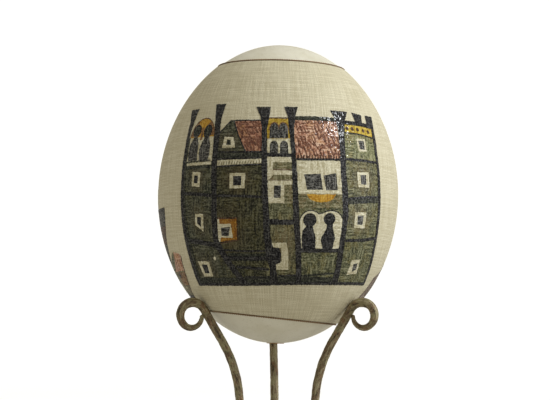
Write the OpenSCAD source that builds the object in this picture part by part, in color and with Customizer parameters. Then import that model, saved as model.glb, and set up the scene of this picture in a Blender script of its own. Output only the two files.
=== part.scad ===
// Blown ostrich egg wrapped in painted linen, standing loose in a wrought-iron stand
// of three scrolled legs. The origin is on the floor under the egg's axis, and +Z is up.
// The painting itself has no thickness worth modelling here, so the linen is plain.

/* [Egg] */
// Widest diameter of the egg, measured over the linen
egg_d = 125; // [118:1:132]
// Length of the bare shell from end to end
egg_l = 155.5; // [150:0.5:162]
// How much narrower the upper half is than the lower half
egg_taper = 0.011; // [0:0.001:0.03]
// How much both ends are drawn in from a true ellipse
egg_draw = 0.025; // [0:0.005:0.04]
// Thickness of the shell's wall
shell_t = 2.2; // [1.6:0.1:2.8]
// Diameter of the hole that the egg was blown through, at its lower end
hole_d = 9; // [6:0.5:12]
// Length of the cork that closes the hole
plug_l = 8; // [5:1:12]
// How far the loose egg leans to the right in its stand, in degrees
egg_lean = 1.1; // [0:0.1:1.5]

/* [Linen] */
// Thickness of the linen with its glue and varnish
linen_t = 0.6; // [0.4:0.1:0.8]
// Height of the linen's upper edge above the egg's middle
top_edge = 65.1; // [60:0.1:68]
// Slant of the upper edge across the egg, where a dip to the right is positive, in degrees
top_slant = 0.5; // [-3:0.5:3]
// Height of the linen's lower edge below the egg's middle
bottom_edge = 64.3; // [62:0.1:66]
// Slant of the lower edge across the egg, in degrees
bottom_slant = 5; // [0:0.5:6]
// Diameter of the brown cord along each edge
cord_d = 0.8; // [0.6:0.1:1]

/* [Stand] */
// Diameter of the round iron rod
rod_d = 4.3; // [3.5:0.1:5]
// Play between the egg and each scroll that it rests on
seat_play = 0.1; // [0.05:0.05:0.3]
// Where the scrolls touch the egg, as an angle below its middle
seat_angle = 47.5; // [46:0.5:49]
// Bend radius of the scroll where it leaves the leg
scroll_start_r = 7.5; // [7:0.5:9]
// Bend radius of the scroll round its outer side
scroll_side_r = 6.3; // [6:0.1:7.5]
// Bend radius of the scroll towards its tip
scroll_tip_r = 5.9; // [5.5:0.1:6.5]
// Slope of the straight upper part of a leg, in degrees from the floor
leg_slope = 57; // [55:1:60]
// Length of the straight upper part of a leg
leg_straight = 20; // [18:1:24]
// Bend radius of a leg through the waist
waist_r = 62; // [56:1:68]
// How far a leg turns outward again below the waist, in degrees
leg_flare = 45; // [40:1:50]
// Bend radius of the foot scroll where it meets the floor
foot_r = 9; // [8:0.5:10]
// Bend radius of the foot scroll towards its tip
foot_tip_r = 6.5; // [6:0.5:7.5]
// How much is ground off under each foot to make it stand flat
foot_flat = 0.3; // [0.2:0.1:0.5]
// Thickness of the drawn-out tip at each end of a leg, as a part of the rod's
point_thickness = 0.45; // [0.3:0.05:0.8]
// Size of each weld bead between a leg and the ring
bead_d = 5.6; // [5:0.1:6.4]

/* [Hidden] */
$fn = 96;

// Azimuths of the three legs, seen from above, of which the back one is welded on askew
LEFT = 210;
RIGHT = 330;
BACK = 94;

// Angle between two profile points of the egg
profile_step = 2;
// Clearance of a cord from what it is laid against
cord_gap = 0.03;
rod_radius = rod_d / 2;
cord_radius = cord_d / 2;
// Sides of a leg's rod, its cross-sections' greatest turn and spacing along a bend,
// and the number of them over which a tip is drawn out
rod_sides = 12;
ring_turn = 12;
ring_step = 4;
point_rings = 29;

// ---- The egg's profile -------------------------------------------------------
// t runs from -90 at the lower end to 90 at the upper end. The profile is an ellipse,
// drawn in towards both ends and slightly narrower above, and out is how far a point
// lies outside the bare shell.
shell_a = egg_d / 2 - linen_t;
shell_b = egg_l / 2;

function egg_form(t) = 1 - egg_taper * sin(t) - egg_draw * pow(sin(t), 2);
function egg_run(t) = -shell_a * (sin(t) * egg_form(t)
    + pow(cos(t), 2) * (egg_taper + 2 * egg_draw * sin(t)));
function egg_rise(t) = shell_b * cos(t);
function egg_point(t, out) =
    let (run = egg_run(t), rise = egg_rise(t), size = sqrt(run * run + rise * rise))
    [
        shell_a * cos(t) * egg_form(t) + out * rise / size,
        shell_b * sin(t) - out * run / size
    ];
function egg_curve(from, to, out) =
    [for (t = [from : profile_step * sign(to - from) : to]) egg_point(t, out)];

// The angle t at which the surface meets a slanted level, on the side +1 or -1 of the axis
function level_angle(side, level, slant, out, low = -90, high = 90, turns = 30) =
    let (middle = (low + high) / 2, p = egg_point(middle, out))
    turns == 0 ? middle
    : p[1] < level - side * p[0] * tan(slant)
        ? level_angle(side, level, slant, out, middle, high, turns - 1)
        : level_angle(side, level, slant, out, low, middle, turns - 1);

// ---- The path of a leg -------------------------------------------------------
// A place on the rod is [distance from the axis, height, heading]. A bend is
// [radius, turn], where a turn to the left is positive, and a straight is [length, 0].
function bend_centre(p, bend) =
    let (side = sign(bend[1]))
    [p[0] - side * bend[0] * sin(p[2]), p[1] + side * bend[0] * cos(p[2])];
function after(p, bend) =
    bend[1] == 0
    ? [p[0] + bend[0] * cos(p[2]), p[1] + bend[0] * sin(p[2]), p[2]]
    : let (c = bend_centre(p, bend), end = p[2] + bend[1], side = sign(bend[1]))
        [c[0] + side * bend[0] * sin(end), c[1] - side * bend[0] * cos(end), end];
function places(p, bends) =
    [for (i = 0, q = p; i <= len(bends); q = i < len(bends) ? after(q, bends[i]) : q, i = i + 1) q];

// A bend cut into short equal ones, by its angle and by its length
function bend_cuts(bend) =
    ceil(max(abs(bend[1]) / ring_turn, abs(bend[1]) * PI / 180 * bend[0] / ring_step, 1));
function fine(bends) = [
    for (bend = bends)
        let (n = bend_cuts(bend))
        for (i = [1 : n]) bend[1] == 0 ? bend : [bend[0], bend[1] / n]
];
function turned_back(list) =
    [for (i = [len(list) - 1 : -1 : 0]) [list[i][0], list[i][1], list[i][2] + 180]];

// The scroll touches the egg where both slope alike
seat_centre = egg_point(-seat_angle, linen_t + seat_play + rod_radius + scroll_start_r);
shoulder = [
    seat_centre[0] - scroll_start_r * sin(leg_slope),
    seat_centre[1] + scroll_start_r * cos(leg_slope),
    leg_slope
];
upward = [
    [scroll_start_r, -95],
    [scroll_side_r, -140],
    [scroll_tip_r, -100]
];
downward = [
    [leg_straight, 0],
    [waist_r, 90 - leg_slope + leg_flare],
    [foot_r, leg_flare + 50],
    [foot_tip_r, 200]
];
leg_down = [shoulder[0], shoulder[1], shoulder[2] + 180];
leg_path = concat(turned_back(places(shoulder, fine(upward))), places(leg_down, fine(downward)));
knee = places(leg_down, downward)[1];
flare = places(leg_down, downward)[2];
waist = [knee[0] - waist_r * (1 - sin(leg_slope)), knee[1] - waist_r * cos(leg_slope)];
sole = bend_centre(flare, downward[2])[1] - foot_r - rod_radius + foot_flat;
// Height of the egg's middle above the floor
egg_z = -sole;
ring_r = waist[0] - rod_d;

// The egg leans about the point on its axis that all three scrolls push towards
lean_z = egg_point(-seat_angle, 0)[1]
    + egg_point(-seat_angle, 0)[0] * egg_run(-seat_angle) / egg_rise(-seat_angle);

// ---- Small shapes ------------------------------------------------------------
module ring(radius, thickness) {
    rotate_extrude() translate([radius, 0]) circle(d = thickness, $fn = 32);
}

// Everything beyond a slanted level: above it for side 1, below it for side -1
module beyond(level, slant, side) {
    reach = 2 * egg_d;
    translate([0, 0, level]) rotate([0, slant, 0])
        translate([-reach / 2, -reach / 2, side > 0 ? 0 : -reach]) cube(reach);
}

// A forged rod along a list of places, drawn out to a point at both ends
module rod(path) {
    last = len(path) - 1;
    points = [
        for (i = [0 : last])
            let (r = rod_radius * min(1, point_thickness + min(i, last - i) / point_rings))
            for (k = [0 : rod_sides - 1])
                let (a = (k + 0.5) * 360 / rod_sides, along = r * cos(a), p = path[i])
                [p[0] - along * sin(p[2]), r * sin(a), p[1] + along * cos(p[2])]
    ];
    sides = [
        for (i = [0 : last - 1])
            for (k = [0 : rod_sides - 1])
                let (m = (k + 1) % rod_sides, here = i * rod_sides, next = here + rod_sides)
                [here + k, here + m, next + m, next + k]
    ];
    first_end = [for (k = [rod_sides - 1 : -1 : 0]) k];
    last_end = [for (k = [0 : rod_sides - 1]) last * rod_sides + k];
    polyhedron(points, concat(sides, [first_end, last_end]));
}

// ---- The egg -----------------------------------------------------------------
// From the egg's own frame, with its middle at the origin, to its place in the stand
module seated() {
    translate([0, 0, egg_z + lean_z]) rotate([0, egg_lean, 0])
        translate([0, 0, -lean_z]) children();
}

module egg_shell() {
    color("ivory") seated() difference() {
        rotate_extrude()
            polygon(concat(egg_curve(-90, 90, 0), egg_curve(90, -90, -shell_t)));
        translate([0, 0, -shell_b - 1]) cylinder(h = 2 * shell_t + 1, d = hole_d);
    }
}

module hole_plug() {
    color("peru") seated() translate([0, 0, -shell_b]) cylinder(h = plug_l, d = hole_d);
}

module linen_cover() {
    lowest = -70;
    highest = 64;
    color("wheat") seated() difference() {
        rotate_extrude()
            polygon(concat(egg_curve(lowest, highest, linen_t), egg_curve(highest, lowest, 0)));
        beyond(top_edge, top_slant, 1);
        beyond(-bottom_edge, bottom_slant, -1);
    }
}

// A cord round the egg, in the corner between the shell and a cut edge of the linen
module edge_cord(edge, slant, side) {
    out = cord_radius + cord_gap;
    level = edge + side * out / cos(slant);
    left = egg_point(level_angle(-1, level, slant, out), out);
    right = egg_point(level_angle(1, level, slant, out), out);
    across = [right[0] + left[0], right[1] - left[1]];
    color("saddlebrown") seated()
        translate([(right[0] - left[0]) / 2, 0, (right[1] + left[1]) / 2])
        rotate([0, slant, 0]) ring(norm(across) / 2, cord_d);
}

module top_cord() {
    edge_cord(top_edge, top_slant, 1);
}

module bottom_cord() {
    edge_cord(-bottom_edge, bottom_slant, -1);
}

// ---- The stand ---------------------------------------------------------------
module leg(azimuth) {
    color("dimgray") difference() {
        translate([0, 0, egg_z]) rotate([0, 0, azimuth]) rod(leg_path);
        translate([-egg_d, -egg_d, -rod_d]) cube([2 * egg_d, 2 * egg_d, rod_d]);
    }
}

module leg_left() {
    leg(LEFT);
}

module leg_right() {
    leg(RIGHT);
}

module leg_back() {
    leg(BACK);
}

module waist_ring() {
    color("dimgray") translate([0, 0, egg_z + waist[1]]) ring(ring_r, rod_d);
}

module weld_beads() {
    color("gray")
        for (azimuth = [LEFT, RIGHT, BACK]) {
            rotate([0, 0, azimuth]) translate([ring_r + rod_radius, 0, egg_z + waist[1]])
                sphere(d = bead_d, $fn = 48);
        }
}

egg_shell();
hole_plug();
linen_cover();
top_cord();
bottom_cord();
leg_left();
leg_right();
leg_back();
waist_ring();
weld_beads();
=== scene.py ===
"""The looks of a painted ostrich egg in a wrought-iron stand, built round its CAD model.

The egg's own measures are in millimetres, and everything that reaches Blender is in metres.
A place on the egg is given by its azimuth in degrees, 0 at the front and positive to the
right, and its height in millimetres above the egg's middle.
"""
from math import cos, pi, radians, sin, tan

import bmesh
import bpy
import numpy as np
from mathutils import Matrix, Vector, noise
from mathutils.geometry import delaunay_2d_cdt


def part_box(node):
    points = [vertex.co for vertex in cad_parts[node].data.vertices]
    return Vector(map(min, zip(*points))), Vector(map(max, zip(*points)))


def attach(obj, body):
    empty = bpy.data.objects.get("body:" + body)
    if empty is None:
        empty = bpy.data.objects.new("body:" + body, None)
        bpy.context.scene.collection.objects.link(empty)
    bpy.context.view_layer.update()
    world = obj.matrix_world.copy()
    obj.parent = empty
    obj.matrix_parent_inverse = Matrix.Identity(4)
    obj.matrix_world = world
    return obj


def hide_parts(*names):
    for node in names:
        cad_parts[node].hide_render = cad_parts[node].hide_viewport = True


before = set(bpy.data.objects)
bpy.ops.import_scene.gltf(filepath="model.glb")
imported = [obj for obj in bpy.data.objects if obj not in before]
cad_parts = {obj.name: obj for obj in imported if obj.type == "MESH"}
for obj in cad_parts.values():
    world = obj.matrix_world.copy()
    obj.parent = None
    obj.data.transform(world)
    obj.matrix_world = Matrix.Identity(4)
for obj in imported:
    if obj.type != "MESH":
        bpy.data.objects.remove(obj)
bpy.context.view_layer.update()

MM = 0.001

# ---- Measures ----
linen_low, linen_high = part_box("linen_cover")
shell_low, shell_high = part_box("egg_shell")

LINEN_T = 0.6
SHELL_T = 2.2
HOLE_R = 4.5
SHELL_A = (linen_high.y - linen_low.y) / 2 / MM - LINEN_T
SHELL_B = (shell_high.z - shell_low.z) / 2 / MM
MIDDLE = (shell_high.z + shell_low.z) / 2
TAPER = 0.011
DRAW = 0.025
LEAN = radians(1.1)
LEAN_Z = -20.8
TOP_EDGE = 65.1
TOP_SLANT = radians(0.5)
BOTTOM_EDGE = -64.3
BOTTOM_SLANT = radians(5)
CORD_R = 0.4
CORD_GAP = 0.03
# The stand's rod, how each leg rests on the floor and holds the egg, and its azimuths
ROD_R = 2.15
SEAT_ANGLE = radians(-47.5)
SEAT_PLAY = 0.1
LEG_SLOPE = radians(57)
FOOT_FLAT = 0.3
LEGS = {"left": radians(210), "right": radians(330), "back": radians(94)}
# Bends of a scroll and of a leg as (radius, turn), where no turn is a straight of that length
SCROLL = [(7.5, radians(-95)), (6.3, radians(-140)), (5.9, radians(-100))]
LEG = [(20, 0), (62, radians(78)), (9, radians(95)), (6.5, radians(200))]
# How a rod's tips are drawn out and rounded, how it swells at the top of its scroll, its
# hammer dents, and the size of a weld bead
TIP_SHARE = 0.45
DRAWN_MM = 20
SWELL = 0.13
SWELL_MM = 30
SWELL_REACH = 4.5
ROUND_MM = 1
DENT = 0.16
BEAD_R = 2.7
ROD_STEP = 0.4
ROD_SIDES = 28
# Length along the surface of one radian of the profile's angle, and of one degree sideways
PROFILE_MM = 72.0
DEGREE_MM = radians(SHELL_A)

# Threads of the linen, and how a painted edge follows them
PITCH = 0.75
EDGE_STEP = 0.75
RAGGED = 0.17
GRID = 2.3
LAYER = 0.035
# How brown the walls are beside a window, and how far that reaches in window widths
GLOW = 0.65
GLOW_REACH = 0.85
RANDOM = np.random.RandomState(7)


# ---- The egg's surface ----
def profile(t, out):
    """Radius and height of the egg's section at the angle t, out mm outside the shell."""
    up, level = np.sin(t), np.cos(t)
    form = 1 - TAPER * up - DRAW * up ** 2
    run = -SHELL_A * (up * form + level ** 2 * (TAPER + 2 * DRAW * up))
    rise = SHELL_B * level
    size = np.hypot(run, rise)
    return SHELL_A * level * form + out * rise / size, SHELL_B * up - out * run / size


T_TABLE = np.radians(np.linspace(-90, 90, 721))
R_TABLE, Z_TABLE = profile(T_TABLE, LINEN_T)


def full_turn(steps):
    """Angles evenly round a full turn."""
    return np.linspace(0, 2 * pi, steps, endpoint=False)


def seated(x, y, z):
    """World points in metres of points in the egg's own frame."""
    z = z - LEAN_Z
    return np.stack([
        (x * cos(LEAN) + z * sin(LEAN)) * MM,
        y * MM + 0 * x,
        (z * cos(LEAN) - x * sin(LEAN) + LEAN_Z) * MM + MIDDLE,
    ], axis=-1)


def cloth_place(angle, t, radius):
    """Where a point lies in the flat linen, in mm, as three numbers for a shader."""
    return np.stack([angle * (radius + SHELL_A) / 2, t * PROFILE_MM + 0 * angle, 0 * angle], axis=-1)


def on_egg(azimuth, height, out):
    """World points of places on the egg, out mm outside the shell, and their cloth places."""
    level_angle = np.radians(azimuth)
    radius = np.interp(height, Z_TABLE, R_TABLE)
    for _ in range(4):
        level_x = radius * np.sin(level_angle) - LEAN_Z * sin(LEAN)
        y = -radius * np.cos(level_angle)
        rise = height - LEAN_Z
        x = level_x * cos(LEAN) - rise * sin(LEAN)
        z = level_x * sin(LEAN) + rise * cos(LEAN) + LEAN_Z
        radius = radius * np.interp(z, Z_TABLE, R_TABLE) / np.hypot(x, y)
    t = np.interp(z, Z_TABLE, T_TABLE)
    angle = np.arctan2(x, -y)
    angle = angle + 2 * pi * np.round((level_angle - angle) / (2 * pi))
    r, z = profile(t, out)
    return seated(r * np.sin(angle), -r * np.cos(angle), z), cloth_place(angle, t, r)


# ---- Meshes ----
def in_scene(name, data):
    """A new object in the scene, from the data of a mesh, a light or a camera."""
    thing = bpy.data.objects.new(name, data)
    bpy.context.scene.collection.objects.link(thing)
    return thing


def smooth_mesh(name, points, faces):
    mesh = bpy.data.meshes.new(name)
    mesh.from_pydata(np.asarray(points).tolist(), [], faces)
    mesh.polygons.foreach_set("use_smooth", [True] * len(mesh.polygons))
    return mesh


def make_piece(name, points, faces, body, **values):
    """A smooth mesh piece that rides on a body, with the values its shader reads at each point."""
    mesh = smooth_mesh(name, points, faces)
    for value, numbers in values.items():
        numbers = np.asarray(numbers, np.float32)
        kind, field = ("FLOAT", "value") if numbers.ndim == 1 else ("FLOAT_VECTOR", "vector")
        mesh.attributes.new(value, kind, "POINT").data.foreach_set(field, numbers.ravel())
    mesh.update()
    piece = in_scene(name, mesh)
    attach(piece, body)
    return piece


def grid_faces(rows, columns, close_rows):
    """Quads of a grid that closes on itself column-wise, and row-wise too if asked."""
    faces = []
    for i in range(rows if close_rows else rows - 1):
        for j in range(columns):
            here, over = i * columns, (i + 1) % rows * columns
            faces.append((here + j, here + (j + 1) % columns, over + (j + 1) % columns, over + j))
    return faces


def merge_poles(piece):
    """Joins the points that meet on the axis, and turns all faces outward."""
    work = bmesh.new()
    work.from_mesh(piece.data)
    bmesh.ops.remove_doubles(work, verts=work.verts, dist=1e-6)
    bmesh.ops.dissolve_degenerate(work, edges=work.edges, dist=1e-7)
    bmesh.ops.recalc_face_normals(work, faces=work.faces)
    work.to_mesh(piece.data)
    work.free()


def solid_piece(name, node, slot, material, points, faces, body, **values):
    """A closed piece that takes the place of a CAD node."""
    piece = make_piece(name, points, faces, body, **values)
    merge_poles(piece)
    piece.data.materials.append(material)
    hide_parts(node)
    return piece


# ---- Shaders ----
class Shader:
    """A material's nodes, with a short call for each kind that is used here."""

    def __init__(self, name, **sockets):
        self.material = bpy.data.materials.new(name)
        self.material.use_nodes = True
        self.nodes = self.material.node_tree.nodes
        self.links = self.material.node_tree.links
        self.finish(**sockets)

    def put(self, socket, value):
        if isinstance(value, bpy.types.NodeSocket):
            self.links.new(value, socket)
        else:
            socket.default_value = value

    def add(self, kind, values, **settings):
        node = self.nodes.new("ShaderNode" + kind)
        for setting, value in settings.items():
            setattr(node, setting, value)
        for socket, value in values.items():
            self.put(node.inputs[socket], value)
        return node

    def attribute(self, name, output):
        return self.add("Attribute", {}, attribute_name=name).outputs[output]

    def here(self):
        """The place in the object's own frame, in millimetres."""
        place = self.add("TexCoord", {}).outputs["Object"]
        return self.stretch(place, 1 / MM, 1 / MM, 1 / MM)

    def stretch(self, place, x, y, z=1):
        node = self.add("VectorMath", {0: place, 1: (x, y, z)}, operation="MULTIPLY")
        return node.outputs[0]

    def math(self, operation, a, b=0):
        return self.add("Math", {0: a, 1: b}, operation=operation).outputs[0]

    def span(self, value, low, high, to_low=0, to_high=1):
        """A value's stretch from low to high as a clamped stretch from to_low to to_high."""
        values = {"Value": value, 1: low, 2: high, 3: to_low, 4: to_high}
        return self.add("MapRange", values, interpolation_type="SMOOTHSTEP").outputs[0]

    def noise(self, place, scale=1, detail=2, rough=0.5):
        values = {"Vector": place, "Scale": scale, "Detail": detail, "Roughness": rough}
        return self.add("TexNoise", values).outputs["Fac"]

    def cells(self, place, scale):
        return self.add("TexVoronoi", {"Vector": place, "Scale": scale}).outputs["Distance"]

    def mix(self, share, a, b):
        """From colour a to colour b, each a node's output or thousandths of linear light."""
        values = {0: share}
        for socket, colour in ((6, a), (7, b)):
            if not isinstance(colour, bpy.types.NodeSocket):
                colour = (*(c / 1000 for c in colour), 1)
            values[socket] = colour
        return self.add("Mix", values, data_type="RGBA").outputs[2]

    def blend(self, share, a, b):
        """From number a to number b."""
        return self.add("Mix", {0: share, 2: a, 3: b}, data_type="FLOAT").outputs[0]

    def bump(self, height, distance, under=None):
        values = {"Height": height, "Distance": distance * MM}
        if under is not None:
            values["Normal"] = under
        return self.add("Bump", values).outputs[0]

    def finish(self, **sockets):
        """The material, with inputs of its surface set to numbers, colours or nodes' outputs."""
        surface = self.nodes["Principled BSDF"]
        for socket, value in sockets.items():
            self.put(surface.inputs[socket.replace("_", " ")], value)
        return self.material


def weave(s):
    """A plain weave: the cloth place, the weave's height and each thread's own tone."""
    cloth = s.attribute("cloth", "Vector")
    parts = s.add("SeparateXYZ", {0: cloth})
    uneven = 0.8

    def wave(place, x, y):
        """The wave of one set of threads, which sway a little along their way."""
        sway = s.math("MULTIPLY", s.noise(s.stretch(cloth, x, y)), uneven)
        place = s.math("ADD", s.math("DIVIDE", place, PITCH), sway)
        return s.math("SINE", s.math("MULTIPLY", place, pi))

    def thread(own, other, side):
        """Height of one set of threads, which dive under the other set in turn."""
        dive = s.math("MULTIPLY", s.math("SIGN", own), other)
        over = s.math("MULTIPLY_ADD", dive, side)
        over.node.inputs[2].default_value = 0.5
        return s.math("MULTIPLY", s.math("ABSOLUTE", own), over)

    warp_wave = wave(parts.outputs[0], 0.45, 0.015)
    weft_wave = wave(parts.outputs[1], 0.015, 0.45)
    warp_height = thread(warp_wave, weft_wave, 0.5)
    weft_height = thread(weft_wave, warp_wave, -0.5)
    height = s.math("MAXIMUM", warp_height, weft_height)
    warp_on_top = s.math("GREATER_THAN", warp_height, weft_height)
    warp_tone = s.noise(s.stretch(cloth, 1.3, 0.05), detail=3)
    weft_tone = s.noise(s.stretch(cloth, 0.05, 1.3), detail=3)
    return cloth, height, s.blend(warp_on_top, weft_tone, warp_tone)


def linen_material():
    """Varnished bare linen."""
    s = Shader("linen", Specular_IOR_Level=0.3, Coat_Weight=0.06, Coat_Roughness=0.35)
    cloth, height, tone = weave(s)
    thread = s.mix(s.span(tone, 0.38, 0.62), LINEN_SHADE, LINEN_LIGHT)
    stain = s.noise(cloth, 0.045, detail=4, rough=0.6)
    thread = s.mix(s.span(stain, 0.45, 0.75, 0, 0.35), thread, LINEN_SHADE)
    # Painted shade: the linen is coloured darker down in the gaps between its threads
    thread_gap_shade = s.span(height, 0.05, 0.55, 0.4, 0)
    colour = s.mix(thread_gap_shade, thread, [c * 0.45 for c in LINEN_SHADE])
    lumps = s.bump(s.noise(cloth, 0.12, detail=3), 0.5)
    rough = s.span(height, 0, 1, 0.8, 0.6)
    return s.finish(Base_Color=colour, Roughness=rough, Normal=s.bump(height, 0.11, lumps))


def paint_material(name, dark, main, light, worn=0.2, warm=None, tint=None, grain=1):
    """Ink or paint drawn on the linen in fine strokes, rubbed thin on the thread tops."""
    s = Shader(name, Specular_IOR_Level=0.08, Coat_Roughness=0.12)
    cloth, height, tone = weave(s)
    up = s.noise(s.stretch(cloth, 0.95 * grain, 0.16 * grain), detail=3, rough=0.7)
    across = s.noise(s.stretch(cloth, 0.16 * grain, 0.95 * grain), detail=3, rough=0.7)
    way = s.span(s.noise(cloth, 0.09), 0.44, 0.56)
    stroke = s.blend(way, up, across)
    if tint is not None:
        patch = s.noise(s.stretch(cloth, 0.22, 0.14), detail=3)
        main = s.mix(s.span(patch, 0.46, 0.6), main, tint)
    colour = s.mix(s.span(stroke, 0.43, 0.5), dark, main)
    colour = s.mix(s.span(stroke, 0.52, 0.6), colour, light)
    speck = s.noise(cloth, 1.1, detail=3, rough=0.75)
    colour = s.mix(s.span(speck, 0.53, 0.6, 0, 0.7), colour, light)
    colour = s.mix(s.span(speck, 0.4, 0.47, 0.7, 0), colour, dark)
    if warm is not None:
        tinge = s.math("MULTIPLY", s.attribute("warm", "Fac"), s.span(up, 0.35, 0.6, 0.25, 1))
        colour = s.mix(tinge, colour, warm)
    rubbed = s.math("MULTIPLY", s.span(height, 0.55, 0.95), s.span(tone, 0.45, 0.66, 0, worn))
    colour = s.mix(rubbed, colour, WORN)
    # Painted shade: the paint is coloured darker down in the gaps between the threads
    colour = s.mix(s.span(height, 0, 0.5, 0.4, 0), colour, [c * 0.35 for c in dark])
    rough = s.span(height, 0, 1, 0.75, 0.55)
    lacquer = s.bump(s.noise(cloth, 0.45, detail=1), 0.45)
    patchy = s.span(speck, 0.48, 0.57, 0.05, 0.6)
    return s.finish(Base_Color=colour, Roughness=rough, Normal=s.bump(height, 0.12),
                    Coat_Normal=lacquer, Coat_Weight=patchy)


# Colours, as thousandths of linear light
LINEN_LIGHT = (710, 665, 495)
LINEN_SHADE = (530, 480, 320)
WORN = (300, 280, 200)
PAINTS = {
    "olive": dict(dark=(10, 11, 6), main=(39, 42, 20), light=(133, 130, 73), warm=(100, 62, 24),
                  tint=(62, 58, 18), worn=0.25),
    "slate": dict(dark=(15, 18, 11), main=(55, 63, 40), light=(160, 162, 110), warm=(100, 68, 33),
                  tint=(72, 72, 30), worn=0.3),
    "moss": dict(dark=(34, 37, 18), main=(120, 127, 66), light=(290, 288, 170), warm=(190, 130, 62),
                 tint=(155, 137, 46), worn=0.3),
    "sage": dict(dark=(70, 75, 30), main=(190, 198, 95), light=(360, 355, 200), tint=(250, 205, 80),
                 worn=0.3),
    "forest": dict(dark=(6, 8, 6), main=(21, 24, 17), light=(90, 94, 70)),
    "ink": dict(dark=(3, 3, 5), main=(9, 9, 11), light=(85, 85, 85), worn=0.25, grain=1.3),
    "pane": dict(dark=(8, 8, 8), main=(33, 33, 31), light=(220, 217, 200), worn=0.4, grain=1.3),
    "cream": dict(dark=(430, 385, 240), main=(610, 570, 400), light=(770, 740, 570), worn=0.1),
    "khaki": dict(dark=(70, 66, 28), main=(170, 158, 78), light=(330, 310, 190), tint=(200, 150, 70),
                  worn=0.3),
    "ochre": dict(dark=(240, 140, 10), main=(440, 290, 30), light=(570, 420, 85), worn=0.12),
    "yellow": dict(dark=(320, 200, 20), main=(540, 385, 45), light=(680, 530, 130), worn=0.12),
    "amber": dict(dark=(330, 150, 13), main=(530, 290, 30), light=(640, 410, 75), worn=0.1),
    "orange": dict(dark=(190, 70, 8), main=(320, 145, 17), light=(440, 250, 45), worn=0.1),
    "rust": dict(dark=(100, 45, 17), main=(240, 125, 50), light=(370, 240, 120)),
    "terracotta": dict(dark=(190, 70, 38), main=(545, 282, 182), light=(740, 520, 380),
                       tint=(590, 325, 170), worn=0.25, grain=0.8),
    "brick": dict(dark=(110, 40, 27), main=(330, 145, 90), light=(530, 300, 195), tint=(400, 195, 86),
                  grain=0.8),
    "russet": dict(dark=(80, 32, 20), main=(170, 75, 47), light=(270, 135, 90), worn=0.15),
    "umber": dict(dark=(35, 16, 10), main=(85, 43, 23), light=(190, 110, 70)),
    "mauve": dict(dark=(100, 68, 50), main=(200, 145, 112), light=(340, 270, 220), worn=0.25),
}

# ---- Painting on the linen ----
painted = {colour: [] for colour in PAINTS}
glows = []


def ragged_edge(corners, ragged):
    """An outline in mm, cut at the threads and pushed a little in and out between its corners."""
    edge = []
    for start, end in zip(corners, np.roll(corners, -1, axis=0)):
        along = end - start
        length = max(np.hypot(*along), 1e-6)
        steps = max(1, round(length / EDGE_STEP))
        side = np.array([-along[1], along[0]]) / length
        edge.append(start)
        for k in range(1, steps):
            edge.append(start + along * k / steps + side * RANDOM.uniform(-ragged, ragged))
    return edge


def area(colour, layer, outline, ragged=RAGGED):
    """Paints the area inside an outline of (azimuth, height) corners."""
    edge = ragged_edge(np.array(outline, float) * (DEGREE_MM, 1), ragged)
    low, high = np.min(edge, axis=0), np.max(edge, axis=0)
    inner = [
        Vector((x, y))
        for x in np.arange(low[0] + GRID / 2, high[0], GRID)
        for y in np.arange(low[1] + GRID / 2, high[1], GRID)
    ]
    points, _, faces, *_ = delaunay_2d_cdt(
        [Vector(p) for p in edge] + inner, [], [list(range(len(edge)))], 1, 1e-4
    )
    used = sorted({i for face in faces for i in face})
    order = {i: k for k, i in enumerate(used)}
    places = np.array([points[i] for i in used]) / (DEGREE_MM, 1)
    painted[colour].append((layer, places, [[order[i] for i in face] for face in faces]))


def arc(centre, across, up, start, end, steps=10):
    """Points of an arc round a centre, across degrees wide and up mm high at its sides."""
    angles = np.radians(np.linspace(start, end, steps + 1))
    return [(centre[0] + across * cos(a), centre[1] + up * sin(a)) for a in angles]


def disc(colour, layer, centre, across, up):
    area(colour, layer, arc(centre, across, up, 0, 337.5, 15), RAGGED / 2)


def line(colour, layer, points, width):
    """A drawn line of a width in mm through (azimuth, height) points."""
    path = np.array(points, float) * (DEGREE_MM, 1)
    along = np.gradient(path, axis=0)
    side = np.stack([-along[:, 1], along[:, 0]], axis=1)
    side = side / np.hypot(*side.T)[:, None] * width / 2
    outline = np.concatenate([path + side, (path - side)[::-1]]) / (DEGREE_MM, 1)
    area(colour, layer, outline, min(RAGGED, width / 5))


def ink(points, width, layer=5):
    line("ink", layer, points, width)


def glass(outline, layer=4):
    """A dark window pane or door."""
    area("pane", layer, outline, RAGGED / 2)


def block(colour, layer, left, right, low, high):
    area(colour, layer, [(left, low), (left, high), (right, high), (right, low)])


def uprights(left, right, low, high, width):
    """An inked edge down each side of a wall."""
    for side in (left, right):
        ink([(side, low), (side, high)], width)


def archway(middle, low, spring, across, up, steps=8):
    """An outline that stands at low and springs at spring into a round arch."""
    top = arc((middle, spring), across, up, 180, 0, steps)
    return [(middle - across, low)] + top + [(middle + across, low)]


def column(sections, colour="ink", layer=5):
    """A tall shape from its sections, each (height, left, right), from the top down."""
    left = [(a, h) for h, a, b in sections]
    right = [(b, h) for h, a, b in sections]
    area(colour, layer, left + right[::-1])


def scaled(corners, x, y):
    """An outline made smaller or larger about its middle."""
    middle = np.mean(corners, axis=0)
    return [tuple(middle + (np.array(c) - middle) * (x, y)) for c in corners]


def window(corners, x=0.42, y=0.5, pane="ink"):
    """A window of four corners: a light frame round a dark pane, in a brownish wall."""
    area("cream", 3, corners)
    area(pane, 4, scaled(corners, x, y), RAGGED / 2)
    glows.append((np.mean(corners, axis=0), np.ptp(corners, axis=0)))


def box_window(left, right, low, high, lean, **how):
    """A window whose top leans sideways by degrees."""
    window([(left, low), (right, low), (right + lean, high), (left + lean, high)], **how)


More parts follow.
